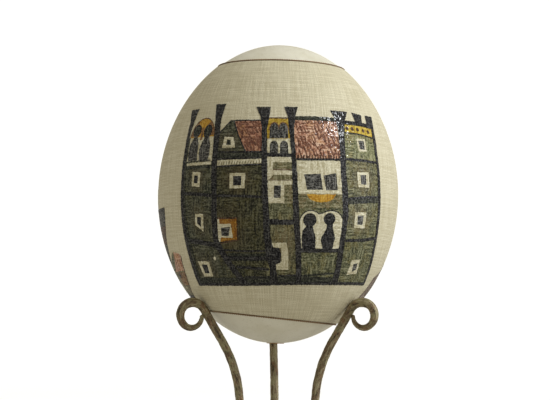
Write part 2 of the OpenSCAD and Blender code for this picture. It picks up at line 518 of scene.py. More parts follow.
def tiled_roof(corners, rows, columns, colour="terracotta"):
    """A roof of four corners, anticlockwise from the lower left, scribbled over with tiles."""
    area(colour, 2, corners)
    low_left, low_right, top_right, top_left = np.array(corners, float)

    def stroke(start, end, width):
        """A wavy line between two places on the roof, given as shares of its width and height."""
        points = []
        for share in np.linspace(0, 1, 9):
            x, y = np.array(start) * (1 - share) + np.array(end) * share
            y = min(max(y + 0.05 * sin(6 * share + 9 * start[1]), 0.02), 0.98)
            low, top = low_left * (1 - x) + low_right * x, top_left * (1 - x) + top_right * x
            points.append(low * (1 - y) + top * y)
        line("russet", 3, points, width)

    for row in range(rows):
        for k in range(2 * columns):
            x = (k + RANDOM.uniform(0.1, 0.7)) / (2 * columns)
            high = (row + RANDOM.uniform(0.75, 1.1)) / rows
            lean = RANDOM.uniform(0.25, 0.7) / columns
            end = (min(x + lean, 0.98), high - RANDOM.uniform(0.4, 0.95) / rows)
            stroke((x, min(high, 0.97)), end, RANDOM.uniform(0.35, 1.15))


def paint_left_tower():
    area("slate", 1, [
        (-51.8, -48), (-51.3, -34), (-50.4, -10), (-50.2, 12.5), (-32, 12.5), (-31.5, -5), (-31, -30),
        (-24, -41), (-18, -48)
    ])
    area("cream", 2, [(-47.6, 10.9), (-47.6, 12.1), (-32.5, 12.3), (-32.4, 10.8)])
    area("cream", 2, [(-48.2, 13), (-48.4, 25.2), (-33, 25), (-32.6, 13)])
    arch = arc((-40.4, 25), 7.8, 9.8, 180, 0)
    area("amber", 3, arch)
    line("rust", 4, arc((-40.4, 25), 6.6, 8.6, 175, 122, 6), 3)
    line("rust", 4, arc((-40.4, 25), 6.5, 8.4, 58, 5, 6), 3.2)
    line("umber", 4, arch, 0.5)
    line("rust", 4, [(-40.4, 23.5), (-40.3, 30)], 1.5)
    for centre, across, up in (((-44.1, 28.4), 2.9, 3.3), ((-36.9, 27.8), 2.6, 3.5)):
        disc("ink", 4.5, centre, across, up)
        disc("forest", 5, centre, across - 0.9, up - 1)
    area("pane", 5, [
        (-46.9, 13.2), (-47.6, 17.2), (-47.3, 21.1), (-45.7, 24.2), (-45.5, 26), (-42.9, 26),
        (-42.6, 24.4), (-41.4, 22), (-41.3, 18.5), (-40.9, 13.2)
    ])
    area("pane", 5, [
        (-39.8, 13), (-40.3, 17), (-40.1, 20.3), (-38.3, 24.3), (-38.2, 25.5), (-35.5, 25.5),
        (-35.1, 23.6), (-33.9, 20.2), (-33.9, 16.3), (-34.3, 13)
    ])
    line("forest", 4, [(-49, 12.8), (-33, 12.9)], 0.6)
    line("forest", 4, [(-49, 9.8), (-33, 9.6)], 1.2)
    window([(-43.2, 0.4), (-38.3, 0), (-38.1, 7.2), (-43.1, 7.7)], 0.46, 0.52)
    window([(-42.6, -18.6), (-37.7, -22.1), (-36.7, -13.5), (-41.6, -13.1)], 0.46, 0.56)
    window([(-45.1, -43.9), (-38.5, -44), (-38, -36.7), (-46, -36.3)], 0.48, 0.58)
    ink([(-50.5, -2.6), (-42, -3.3), (-31, -4.8)], 1.7)
    ink([(-51, -26), (-42, -27), (-31, -28.9)], 2.4)
    disc("cream", 5, (-33.9, -35.2), 0.7, 0.9)
    line("forest", 5, [(-48.5, 25), (-48.2, 8), (-48.4, -12), (-48.2, -32), (-49.3, -46)], 1.3)
    column([
        (40.2, -55.3, -48.2), (38.7, -54.6, -48.6), (33.4, -52, -48.8), (25, -51.2, -49),
        (17.4, -50.6, -48.8), (2, -50.7, -48.9), (-16, -51.5, -49.3), (-27.5, -51.9, -49.4),
        (-35, -52.1, -49.6), (-48.3, -53.4, -50.8)
    ])
    column([
        (41.6, -36.2, -29.4), (40.5, -35.7, -29.7), (33.9, -33.9, -30.3), (26.7, -32.6, -29.4),
        (13, -31.9, -29.1), (-6.6, -31.5, -28.8), (-13.2, -32.2, -29.2), (-26, -32.7, -29.7),
        (-30.5, -31.8, -27.9), (-37.4, -28.2, -24.4), (-45.3, -23.2, -19.2), (-47.6, -21.4, -17)
    ])


def paint_left_house():
    area("olive", 1, [
        (-31, -48), (-31.5, 0), (-31.5, 17.5), (-30, 25.8), (-24.5, 32.5), (-22.6, 32.2), (-15.3, 16.6),
        (-6.5, 16.6), (-5.5, -48)
    ])
    area("slate", 2, [(-31, 17.5), (-30, 25.6), (-24.5, 32.1), (-22.6, 32.2), (-15.3, 16.8)])
    tiled_roof([(-15.2, 16.6), (-7.2, 16.7), (-8, 32.2), (-22.6, 32.2)], 4, 3, "brick")
    ink([(-30.2, 25.9), (-24.3, 32.5), (-8, 32.2)], 0.7, 4)
    ink([(-22.6, 32.3), (-18.9, 24), (-15.2, 16.6)], 0.7, 4)
    window([(-27.2, 18.9), (-20.5, 18.6), (-21.7, 23.9), (-26.5, 24.4)], 0.36, 0.5, pane="forest")
    ink([(-29.3, 16.7), (-18, 16.4), (-7.4, 16.2)], 0.8, 4)
    line("forest", 2, [(-29.3, 14.9), (-7.4, 14.6)], 2.8)
    area("cream", 3, [(-29, 10), (-29, 12.7), (-7.6, 12.8), (-7.6, 10.5)])
    for k in range(16):
        azimuth = -28.2 + 1.3 * k
        line("khaki", 4, [(azimuth, 10.2 + 0.03 * k), (azimuth + 0.3, 11.9)], 0.45)
    ink([(-29.3, 13.2), (-7.5, 13.2)], 0.7, 4)
    ink([(-29.3, 9.5), (-18, 9.8), (-7.4, 10)], 0.7, 4)
    window([(-22.4, -1.5), (-15, -1.6), (-15, 5.9), (-22.4, 6.1)], 0.52, 0.6)
    ink([(-28.9, -4.8), (-18, -5.2), (-7.2, -5.9)], 1.2, 4)
    area("orange", 3, [(-28.8, -27.2), (-20, -26.3), (-19.4, -16.3), (-28.8, -16.3)])
    area("cream", 4, [
        (-29.9, -27.3), (-28.9, -27.3), (-28, -25), (-21.9, -25.5), (-22.3, -18.8), (-28.1, -18.5),
        (-28.2, -16.3), (-29, -16.3)
    ])
    glass([(-27.7, -24.3), (-24, -24.6), (-22.9, -20.2), (-27.6, -20.4)], 5)
    line("umber", 5, [(-28.8, -15.9), (-19.2, -15.8), (-19.4, -26.5), (-28.7, -27.9)], 0.6)
    glows.append(((-24.5, -21.8), (9, 12)))
    ink([(-28.4, -31.2), (-18, -31.9), (-6, -32)], 0.9, 4)
    line("forest", 3, [(-26, -34.5), (-15, -35), (-5.5, -35)], 3.6)
    ink([(-26.4, -35), (-15, -35.4), (-5, -35.4)], 1.6, 4)
    ink([(-22.3, -39.5), (-5, -40.9)], 1.3, 4)
    ink([(-18.5, -44.6), (-4, -44.6)], 1.1, 4)


def paint_middle():
    area("moss", 1, [(-6, -48), (-6, -8), (8, -8), (11, -48)])
    area("ochre", 2, [(-5.6, 22.8), (-5.5, 33), (5.4, 33), (5.6, 22.8)])
    line("umber", 4, [(-5, 33.3), (5, 33.3)], 0.5)
    for azimuth in (-1.9, 2.5):
        arch = archway(azimuth, 23, 27, 2.2, 3.8)
        line("rust", 3, arch[1:-1], 1.1)
        glass(arch)
    area("cream", 2, [(-5.3, 13.8), (-5.3, 22.7), (5.9, 22.7), (6.3, 13.8)])
    for azimuth in (-1.95, 2.7):
        glass(archway(azimuth, 15, 19, 1.9, 2.8))
    ink([(-5.3, 14.7), (6.2, 14.5)], 1.8)
    area("cream", 2, [(-5.4, -9), (-5.4, 13.6), (6.9, 13.6), (7.4, -9)])
    area("khaki", 3, [(-2.3, 7.8), (-2.3, 11.2), (6.4, 11), (6.4, 7.6)])
    line("umber", 4, [(-2.3, 7.4), (6.5, 7.2)], 0.5)
    area("khaki", 3, [(-4, 2.5), (-2.2, 4.9), (6.4, 4.9), (6.5, 2.5)])
    line("umber", 4, [(-4.6, 2.3), (6.2, 2.2)], 0.3)
    area("khaki", 3, [(2.7, -9), (2.7, 0), (6.7, 0), (7.1, -9)])
    glass([(-1.9, -6.4), (-1.8, -0.4), (1.2, -0.4), (1, -6.4)])
    ink([(-4.5, -17.9), (2, -18.2), (8.5, -18)], 2.6, 3)
    area("cream", 3, [
        (-3.1, -28), (4, -28), (5, -35), (5.4, -41), (-0.9, -41), (-1.5, -38), (1.8, -37), (1.4, -30.6),
        (-3, -30)
    ])
    area("ink", 4, [(-4, -30.2), (0.4, -30.5), (1.5, -33.7), (1.2, -37.5), (-1.4, -38.6), (-4, -38)])
    glows.append(((2.5, -30), (8, 15)))
    ink([(0, -44), (11, -43.6)], 0.8, 3)
    column([
        (39.1, -11.6, -3.8), (37.6, -10.7, -4.1), (34, -8.9, -4.4), (28.3, -8, -5.3),
        (20.7, -7.7, -5.2), (-6.5, -7.1, -4.5), (-15.5, -6.8, -4), (-23.3, -6.9, -3.9),
        (-31, -6.3, -2.4), (-36, -5.8, -1.6), (-40, -4.5, -1.1), (-47.6, -4.5, -0.2)
    ])
    column([
        (39.1, 3.1, 10.4), (38, 3.5, 10), (33.9, 4.9, 8.6), (28, 5.2, 7.6), (17.6, 5.9, 7.9),
        (0, 6.3, 8.7), (-18, 6.9, 9.7), (-29.5, 8.2, 11.1), (-47.5, 10.1, 12.9)
    ])


def paint_right_house():
    area("moss", 1, [(8, -48), (8, -4.2), (31.5, -4.2), (33.5, -30), (33, -48)])
    tiled_roof([(7.5, 12.6), (30, 13.2), (30.4, 33.4), (7.5, 33.4)], 5, 6, "terracotta")
    line("forest", 4, [(8, 33.2), (20, 33.4), (30.3, 33.2)], 2.1)
    for k in range(16):
        azimuth = 9 + 1.33 * k
        line("umber", 4, [(azimuth, 12.6), (azimuth + 0.2, 14.8)], 0.65)
    ink([(8.2, 12.5), (20, 12.7), (30, 13)], 1.1)
    area("cream", 2, [(8.8, -4.4), (8.6, 12), (30.2, 12.2), (30.8, -4.2)])
    glass([(13, -2.3), (11.7, 5.1), (19.4, 5.6), (20.4, -2.2)])
    glass([(22, -2.4), (20.9, 4.8), (27.1, 6.2), (27.8, -2.1)])
    area("khaki", 2, [(8.8, -11.3), (8.7, -4.2), (30.8, -4), (31.3, -11)])
    area("amber", 3, [(12.8, -4.5)] + arc((19.8, -4.4), 6.8, 4, 190, 350, 8) + [(27, -4.3)])
    twin = [(11, -30.8), (10.3, -24), (9.9, -18.5)] + arc((15.1, -18), 5.1, 5.4, 165, 45, 6)
    twin += arc((24.9, -18.4), 6.6, 5.9, 130, 5, 7) + [(31.4, -25), (31, -30.8)]
    area("cream", 3, twin)
    ink([(a, h + 0.4) for a, h in twin[2:-2]], 0.5, 3)
    disc("ink", 4, (14.6, -17), 3.2, 3.4)
    area("ink", 4, [
        (11.7, -31.2), (11.1, -26), (11.3, -22.4), (12.9, -20), (16.2, -20), (16.8, -22.2), (18, -25.5),
        (18.4, -31.2)
    ])
    disc("ink", 4, (24.2, -16.3), 3, 3)
    area("ink", 4, [
        (22.2, -31.2), (20.8, -27.2), (21, -24.8), (23, -21), (23.1, -18.5), (26.2, -18.5), (26.4, -21),
        (28.1, -25.3), (27.4, -31.2)
    ])
    ink([(9.5, -31.6), (21, -31.7), (33.4, -31.4)], 1.9)
    line("forest", 3, [(12, -44), (33, -42.5)], 1)


def paint_right_tower():
    area("moss", 1, [
        (32.5, -48), (34, -26), (31.5, 0), (31, 14), (34, 31), (55, 31), (53.5, 17), (53.5, 0),
        (54.8, -20), (56.4, -32), (60.3, -48)
    ])
    area("sage", 2, [(33, 14), (33.6, 26.8), (44, 26.6), (53.6, 25.6), (53, 13.6)])
    area("ink", 5, [(42, 37.9), (49.3, 36.9), (47.6, 31.5), (43.4, 32)])
    area("ink", 5, [(52.7, 37.1), (59.5, 37), (56.4, 31), (51.4, 31.5)])
    ink([(35.5, 32.2), (46, 32), (56.6, 31)], 2.1)
    area("yellow", 3, [(34.6, 27.4), (35, 31.1), (55.6, 30.6), (53.2, 25.9), (44, 27)])
    for azimuth, height in ((36.2, 29.2), (39.5, 29.2), (43.1, 29), (47.1, 28.7), (50.9, 28.4)):
        disc("umber", 4, (azimuth, height), 1, 0.95)
    ink([(34.2, 27), (44, 26.6), (53.6, 25.4)], 0.7, 4)
    window([(41, 18), (46.5, 17.9), (46.9, 24.4), (40.8, 24.3)], 0.6, 0.68, pane="pane")
    window([(39.3, 0), (46.3, -0.2), (46.2, 7.7), (38.7, 7.3)], 0.48, 0.62, pane="pane")
    window([(38.3, -20.2), (45.1, -20.2), (45.1, -12.2), (37.8, -12.6)], 0.5, 0.58, pane="pane")
    area("cream", 3, [(40.8, -43.1), (48.2, -42.5), (47.2, -35.5), (41.3, -36)])
    glass([(43.9, -41.7), (46.7, -40.4), (46.1, -37.2), (43.2, -37.9)])
    ink([(32.8, 13.5), (43, 13.3), (53, 12.9)], 1.3)
    line("forest", 4, [(33.7, -7.2), (44, -6.2), (54.4, -5.4)], 3.2)
    ink([(33.7, -6), (44, -4.9), (54.4, -4.2)], 1)
    ink([(34.2, -26.6), (46, -26), (55.5, -24.6)], 1.5)
    column([
        (38, 28.3, 39.1), (36.6, 28.9, 38.2), (32.6, 30.4, 35.6), (27, 30.6, 34), (19, 30, 33),
        (7, 29.5, 32.4), (-5, 30.2, 33.4), (-15.6, 31, 34.1), (-23.7, 31, 33.9), (-33, 31.1, 34.3),
        (-47.6, 32.2, 36.4)
    ])
    column([
        (36.8, 56.6, 59.2), (28.5, 54, 56.3), (17, 52.6, 54.6), (0, 52.8, 54.8), (-18.6, 53.9, 56),
        (-30, 55.4, 57.4), (-47.8, 59.8, 61.9)
    ])


def paint_front():
    """The street that faces the viewer."""
    paint_left_tower()
    paint_left_house()
    paint_middle()
    paint_right_house()
    paint_right_tower()
    line("forest", 4, [(-52.5, -46.2), (-20, -46.4), (10, -45.8), (33, -46.2)], 3.4)
    ink([(-53, -47.6), (-20, -48), (10, -47.6), (40, -47.4), (61.6, -47.3)], 1.5)


def tower(left, right, low, high, wall, storeys, pane="ink"):
    """A tall house between two trumpet-topped columns, with a window on each storey."""
    block(wall, 1, left, right, low, high)
    middle = (left + right) / 2
    storey = (high - low) / storeys
    for k in range(storeys):
        base = low + k * storey
        sway = 0.6 * sin(2.1 * k + left)
        box_window(middle - 3.6 + sway, middle + 3 + sway, base + 0.3 * storey, base + 0.72 * storey,
                   0.7 * cos(1.7 * k), pane=pane)
        ink([
            (left, base + storey), (middle, base + storey + 0.5 * sway), (right, base + storey - 0.4)
        ], 1.4)
    for side in (left, right):
        column([
            (high + 8, side - 3, side + 2.9), (high + 2, side - 1.4, side + 1.3),
            (0, side - 1.2, side + 1.4), (low, side - 1.5, side + 1.2)
        ])


def house(left, right, low, eaves, ridge, wall, panes, roof="terracotta"):
    """A broad house with a row of windows on each of its two floors, under a tiled roof."""
    block(wall, 1, left, right, low, eaves)
    tiled_roof([
        (left - 0.6, eaves), (right + 0.6, eaves), (right - 2.5, ridge), (left + 2.5, ridge)
    ], 4, max(3, round((right - left) / 4)), roof)
    ink([(left + 2.4, ridge + 0.4), (right - 2.4, ridge + 0.3)], 0.9, 4)
    ink([(left - 0.6, eaves), (right + 0.6, eaves)], 1)
    floor = (eaves - low) / 2
    width = (right - left) / panes
    for row in range(2):
        base = low + row * floor
        for k in range(panes):
            edge = left + (k + 0.5) * width
            box_window(edge - 0.28 * width, edge + 0.28 * width, base + 0.3 * floor,
                       base + 0.75 * floor, 0.4 * sin(k + row), pane="pane")
    ink([(left, low + floor), (right, low + floor - 0.5)], 1.1)
    uprights(left, right, low, eaves, 1.4)


def gable_house(left, right, low, eaves, peak, wall):
    """A narrow house with its pointed gable to the street and an arched door."""
    middle = (left + right) / 2
    area(wall, 1, [(left, low), (left, eaves), (middle, peak), (right, eaves), (right, low)])
    ink([(left - 0.8, eaves - 0.8), (middle, peak + 0.4), (right + 0.8, eaves - 0.8)], 1.2)
    disc("cream", 3, (middle, (eaves + peak) / 2 - 1), 2, 2.4)
    disc("pane", 4, (middle, (eaves + peak) / 2 - 1), 1.1, 1.4)
    storey = (eaves - low) / 3
    for k in (1, 2):
        base = low + k * storey
        box_window(middle - 4, middle - 0.7, base + 2, base + 0.75 * storey, 0.3)
        box_window(middle + 1, middle + 4.3, base + 2, base + 0.75 * storey, -0.3)
        ink([(left, base), (right, base + 0.3)], 0.9, 4)
    door = archway(middle, low, low + 6, 2.6, 3.4)
    area("amber", 3, scaled(door, 1.35, 1.12))
    glass(door)
    uprights(left, right, low, eaves, 1.4)


def church(left, right, low, eaves):
    """A church with a belfry, a bulbous dome and a row of arched windows."""
    middle = (left + right) / 2
    block("moss", 1, left, right, low, eaves)
    block("cream", 2, left + 1, right - 1, eaves - 10, eaves - 1)
    for k in range(4):
        centre = left + (k + 0.5) * (right - left) / 4
        glass(archway(centre, eaves - 9, eaves - 5, 1.5, 2.4, 6))
    block("ochre", 2, middle - 4, middle + 4, eaves, eaves + 11)
    glass(archway(middle, eaves + 1, eaves + 6, 2, 3, 6))
    column([
        (eaves + 24, middle - 0.4, middle + 0.4), (eaves + 21, middle - 0.9, middle + 0.9),
        (eaves + 18, middle - 3.6, middle + 3.6), (eaves + 15.5, middle - 5, middle + 5),
        (eaves + 13, middle - 4.6, middle + 4.6), (eaves + 11, middle - 3.4, middle + 3.4)
    ], "mauve", 3)
    for k in (-2.6, 0, 2.6):
        line("umber", 4, [
            (middle + 0.1 * k, eaves + 22), (middle + k, eaves + 16.5), (middle + k, eaves + 11.4)
        ], 0.4)
    uprights(middle - 4.2, middle + 4.2, eaves, eaves + 11, 1)
    ink([(left - 0.6, eaves), (right + 0.6, eaves - 0.3)], 1.4)
    ink([(middle - 4.8, eaves + 11), (middle + 4.8, eaves + 11)], 0.9)
    uprights(left, right, low, eaves, 1.5)
    disc("amber", 3, (middle, low + 19), 4.2, 5)
    disc("pane", 4, (middle, low + 19), 2.8, 3.5)
    for k in (-1, 1):
        box_window(middle + 7 * k - 2.2, middle + 7 * k + 2.2, low + 15, low + 23, 0.3 * k)
    door = archway(middle, low, low + 7, 3.4, 4)
    area("cream", 3, scaled(door, 1.3, 1.1))
    glass(door)


def tree(azimuth, low, high, across):
    """A round dark tree on a short trunk."""
    line("umber", 2, [(azimuth, low), (azimuth + 0.4, (low + high) / 2)], 1.1)
    disc("forest", 3, (azimuth + 0.2, low + 0.68 * (high - low)), across, 0.36 * (high - low))
    for k in range(5):
        lean = (k - 2) * 0.38 * across
        line("moss", 4, [
            (azimuth + 0.4 * lean, low + 0.5 * (high - low)), (azimuth + lean, low + 0.9 * (high - low))
        ], 0.4)


def paint_right_side():
    """The street to the right, which begins with a steep mauve roof low on the egg."""
    low = -55
    roof = [(66.8, -55), (69.9, -50.7), (71.3, -46.9), (72, -44.5), (81.8, -41.2), (90, -37), (95.5, -36)]
    area("mauve", 2, roof + [(95.5, -55)])
    line("umber", 3, roof, 0.7)
    for k in range(4):
        line("umber", 3, [(75 + 4 * k, -53), (78 + 4 * k, -45 + 1.5 * k)], 0.5)
    window([(87, -52), (92, -52), (92.5, -45), (88.2, -45)], pane="pane")
    tower(96, 110, low, 18, "olive", 4)
    house(111.5, 133, low, 4, 21, "moss", 3)
    gable_house(134.5, 148, low, 6, 24, "olive")
    tower(149.5, 162, low, 12, "moss", 4, pane="pane")
    ink([(94, low), (110, low - 0.3), (136, low), (163, low - 0.2)], 1.5)


def paint_left_side():
    """The street to the left, which ends with a dark tower and a small house low on the egg."""
    low = -55
    area("umber", 1, [
        (-88, -38), (-88, -9), (-68.2, -9), (-68.4, -13.3), (-69.8, -18.2), (-72.5, -23.4),
        (-74.2, -26.9), (-76.2, -31), (-80, -36)
    ])
    area("pane", 2, [(-88, -18), (-88, -9), (-68.2, -9), (-68.4, -13), (-70, -18)])
    area("forest", 2, [(-88, -38), (-88, -27), (-74.4, -27), (-76.4, -31), (-80, -36)])
    ink([(-88, -9.6), (-76, -9.6), (-68.4, -9.3)], 1.6)
    house_side = [(-59.8, -33.4), (-61, -36.5), (-62.2, -40.7), (-63.3, -43.9), (-65.7, -48.1),
                  (-68.4, -51.2), (-69.4, -55)]
    area("terracotta", 2, [(-81, -41), (-76, -36), (-67.9, -31.2), (-61.9, -32)] + house_side[:3])
    area("moss", 3, [(-80, -37), (-70, -31.6), (-67.6, -31.2), (-70.4, -35.8), (-76, -40), (-81, -41)])
    area("khaki", 1, [(-82, -55), (-81, -40.5)] + house_side[2:])
    area("rust", 2, [(-76, -48), (-74, -41.5), (-62.6, -41.5), (-63.6, -44), (-66, -48)])
    disc("ink", 3, (-72.8, -43), 2.2, 1.2)
    disc("cream", 3, (-72.5, -49), 1.6, 0.6)
    line("umber", 3, house_side, 0.8)
    ink([(-82, -53.6), (-69.6, -54.2)], 2.6, 3)
    church(-112, -90, low, 2)
    tree(-85.6, -52, -38, 3)
    house(-135, -114, low, 6, 22, "olive", 3)
    tower(-150, -137, low, 16, "moss", 4)
    gable_house(-164, -151.5, low, 4, 21, "olive")
    ink([(-165, low), (-136, low - 0.3), (-110, low), (-83, low - 0.4)], 1.5)


def painting():
    """All the painted pieces, one for each colour, lying on the linen."""
    paint_front()
    paint_right_side()
    paint_left_side()
    for colour, patches in painted.items():
        points, cloth, warm, faces = [], [], [], []
        for number, (layer, places, patch_faces) in enumerate(patches):
            out = LINEN_T + LAYER * (layer + 0.3 * (number % 3) / 3)
            world, flat = on_egg(places[:, 0], places[:, 1], out)
            glow = np.zeros(len(places))
            for middle, size in glows:
                away = np.hypot(*((places - middle) / (np.array(size) * GLOW_REACH)).T)
                glow = np.maximum(glow, np.exp(-away ** 2) * GLOW)
            faces += [[len(points) + i for i in face] for face in patch_faces]
            points += world.tolist()
            cloth += flat.tolist()
            warm += glow.tolist()
        piece = make_piece("paint_" + colour, points, faces, "egg", cloth=cloth, warm=warm)
        piece.data.materials.append(paint_material("paint " + colour, **PAINTS[colour]))


# ---- The egg's other pieces ----
def edge_heights(angle, edge, slant, out):
    """Height at which a slanted level meets the surface, all the way round."""
    height = np.full_like(angle, edge)
    radii, heights = profile(T_TABLE, out)
    for _ in range(8):
        height = edge - np.interp(height, heights, radii) * np.sin(angle) * tan(slant)
    return height


def linen_piece():
    """The linen, a closed sheet glued round the egg, whose end laps over its start at the back."""
    columns, rows = 300, 120
    lap, lap_t, cut, glue_t, rim_t = radians(7), 0.25, 0.002, 0.06, 0.1
    angle = np.append(np.linspace(-pi, pi, columns + 1)[:-1], pi - cut)
    past = np.clip((angle - (pi - 1.3 * lap)) / (0.3 * lap), 0, 1)
    lift = lap_t * past * past * (3 - 2 * past)
    loops, cloths = [], []
    for out, order in ((LINEN_T, 1), (glue_t, -1)):
        low = edge_heights(angle, BOTTOM_EDGE, BOTTOM_SLANT, out)
        high = edge_heights(angle, TOP_EDGE, TOP_SLANT, out)
        heights = profile(T_TABLE, out)[1]
        share = np.linspace(0, 1, rows)[::order, None]
        t_low, t_high = np.interp(low, heights, T_TABLE), np.interp(high, heights, T_TABLE)
        t = t_low * (1 - share) + t_high * share
        rim = np.clip(np.minimum(share, 1 - share) * (rows - 1), 0, 1)
        raised = out + (lift if order == 1 else 0) - rim_t * order * (1 - rim)
        r, z = profile(t, raised)
        loops.append(seated(r * np.sin(angle), -r * np.cos(angle), z))
        cloths.append(cloth_place(angle + 0 * t, t, r))
    points = np.concatenate(loops).reshape(-1, 3)
    cloth = np.concatenate(cloths).reshape(-1, 3)
    faces = grid_faces(2 * rows, columns + 1, True)
    material = linen_material()
    return solid_piece("linen", "linen_cover", "linen", material, points, faces, "egg", cloth=cloth)


def shell_material():
    """Ostrich shell: ivory, glossy, with fine pores in pits."""
    s = Shader("shell", Specular_IOR_Level=0.4, Coat_Weight=0.1, Coat_Roughness=0.3)
    place = s.here()
    tone = s.noise(place, 0.07, 4, 0.6)
    colour = s.mix(s.span(tone, 0.35, 0.7), (750, 725, 600), (680, 650, 510))
    pits = s.span(s.cells(place, 0.85), 0.08, 0.3)
    rare = s.span(s.noise(place, 0.5), 0.48, 0.56)
    pore = s.math("MULTIPLY", s.math("SUBTRACT", 1, pits), rare)
    colour = s.mix(s.math("MULTIPLY", pore, 0.45), colour, (420, 370, 260))
    rough = s.span(s.noise(place, 1.5), 0.3, 0.7, 0.38, 0.52)
    dents = s.bump(s.noise(place, 0.3, 3), 0.35)
    pitted = s.bump(s.math("MULTIPLY", pore, -1), 0.16, dents)
    return s.finish(Base_Color=colour, Roughness=rough, Normal=pitted)


def shell_piece():
    """The bare shell, hollow, with the rounded rim of the hole at its lower end."""
    columns = 192
    rim_r = 0.5
    lower = slice(len(T_TABLE) // 2 + 1)
    start = np.interp(HOLE_R + rim_r, profile(T_TABLE, 0)[0][lower], T_TABLE[lower])
    end = np.interp(HOLE_R, profile(T_TABLE, -SHELL_T)[0][lower], T_TABLE[lower])
    outer = profile(np.linspace(start, pi / 2, 120), 0)
    inner = profile(np.linspace(pi / 2, end, 90), -SHELL_T)
    turn = np.linspace(0, pi / 2, 5)[1:]
    base = outer[1][0]
    rim = (HOLE_R + rim_r * (1 - np.sin(turn)), base + rim_r * (1 - np.cos(turn)))
    r = np.concatenate([rim[0][::-1], outer[0], inner[0]])
    z = np.concatenate([rim[1][::-1], outer[1], inner[1]])
    angle = full_turn(columns)
    r = np.maximum(r, 0)[:, None]
    points = seated(r * np.sin(angle), -r * np.cos(angle), z[:, None] + 0 * angle)
    faces = grid_faces(len(z), columns, True)
    solid_piece("shell", "egg_shell", "eggshell", shell_material(), points.reshape(-1, 3), faces, "egg")


def cord_material():
    """Brown cotton thread, waxed."""
    s = Shader("thread", Specular_IOR_Level=0.25, Sheen_Weight=0.2, Sheen_Roughness=0.5)
    place = s.here()
    fibre = s.noise(place, 5, 4, 0.6)
    colour = s.mix(s.span(fibre, 0.3, 0.7), (100, 55, 25), (280, 170, 80))
    faded = s.span(s.noise(place, 0.04), 0.45, 0.65, 0, 0.5)
    colour = s.mix(faded, colour, (380, 270, 140))
    rough = s.span(fibre, 0.3, 0.7, 0.85, 0.65)
    return s.finish(Base_Color=colour, Roughness=rough, Normal=s.bump(fibre, 0.08))


def cord_piece(name, node, edge, slant, side, material):
    """A two-ply twisted cord round the egg, in the corner at a cut edge of the linen."""
    out = CORD_R + CORD_GAP
    level = edge + side * out / cos(slant)
    ends = []
    for angle in (-pi / 2, pi / 2):
        height = edge_heights(np.array([angle]), level, slant, out)[0]
        radii, heights = profile(T_TABLE, out)
        ends.append(np.array([sin(angle) * np.interp(height, heights, radii), height]))
    centre = (ends[0] + ends[1]) / 2
    radius = np.hypot(*(ends[1] - ends[0])) / 2
    ply_r, ply_away, twist_mm = 0.26, 0.2, 2.4
    steps, sides = 900, 8
    turns = round(2 * pi * radius / twist_mm)
    round_egg = full_turn(steps)[:, None]
    around = full_turn(sides)
    points, faces = [], []
    for ply in (0, pi):
        twist = turns * round_egg + ply
        away = radius + ply_away * np.cos(twist) + ply_r * np.cos(around)
        up = ply_away * np.sin(twist) + ply_r * np.sin(around)
        x, y = away * np.cos(round_egg), away * np.sin(round_egg)
        tilted = seated(centre[0] + x * cos(slant) + up * sin(slant), y,
                        centre[1] - x * sin(slant) + up * cos(slant))
        faces += [[len(points) + i for i in face] for face in grid_faces(steps, sides, True)]
        points += tilted.reshape(-1, 3).tolist()
    solid_piece(name, node, "thread", material, points, faces, "egg")


def cork_material():
    """Cork, with dark pits and a fine grain."""
    s = Shader("cork", Roughness=0.85, Specular_IOR_Level=0.2)
    place = s.here()
    grain = s.noise(place, 1.2, 5, 0.65)
    colour = s.mix(s.span(grain, 0.3, 0.7), (300, 170, 80), (550, 360, 200))
    pits = s.span(s.cells(place, 0.7), 0.1, 0.35)
    colour = s.mix(pits, (100, 50, 25), colour)
    return s.finish(Base_Color=colour, Normal=s.bump(s.math("MULTIPLY", pits, grain), 0.4))


# ---- The stand ----
def iron_material():
    """Forged iron under an old brown and olive patina, with streaks drawn out along the rod."""
    s = Shader("iron", Metallic=0.15, Specular_IOR_Level=0.3)
    place = s.attribute("rod", "Vector")
    cloudy = s.noise(place, 0.22, 5, 0.65)
    streak = s.noise(s.stretch(place, 1.1, 1.1, 0.22), 0.8, 5, 0.7)
    fine = s.noise(place, 0.9, 6, 0.75)
    colour = s.mix(s.span(cloudy, 0.42, 0.58), (165, 116, 64), (264, 234, 126))
    rust = s.span(s.noise(place, 0.35, 4, 0.6), 0.52, 0.62, 0, 0.8)
    colour = s.mix(rust, colour, (220, 126, 66))
    colour = s.mix(s.span(streak, 0.52, 0.62, 0, 0.75), colour, (430, 385, 240))
    colour = s.mix(s.span(streak, 0.38, 0.46, 0.85, 0), colour, (30, 22, 13))
    colour = s.mix(s.span(fine, 0.56, 0.65, 0, 0.65), colour, (460, 420, 280))
    colour = s.mix(s.span(fine, 0.35, 0.44, 0.75, 0), colour, (28, 20, 12))
    rough = s.span(streak, 0.35, 0.65, 0.62, 0.4)
    return s.finish(Base_Color=colour, Roughness=rough, Normal=s.bump(fine, 0.25, s.bump(streak, 0.5)))


def iron_piece(name, node, points, outward, places, faces, material):
    """Forged iron from points in mm, dented along their ways outward as a hammer leaves it."""
    flat = places.reshape(-1, 3)
    depth = [
        0.9 * noise.noise(p * 0.3) + 0.5 * noise.noise(p * 0.8) + 0.2 * noise.noise(p * 2.2)
        for p in map(Vector, flat)
    ]
    shaped = (points + outward * np.reshape(depth, points.shape[:-1])[..., None] * DENT) * MM
    shaped[..., 2] = np.maximum(shaped[..., 2], 0)
    solid_piece(name, node, "iron", material, shaped.reshape(-1, 3), faces, "stand", rod=flat)


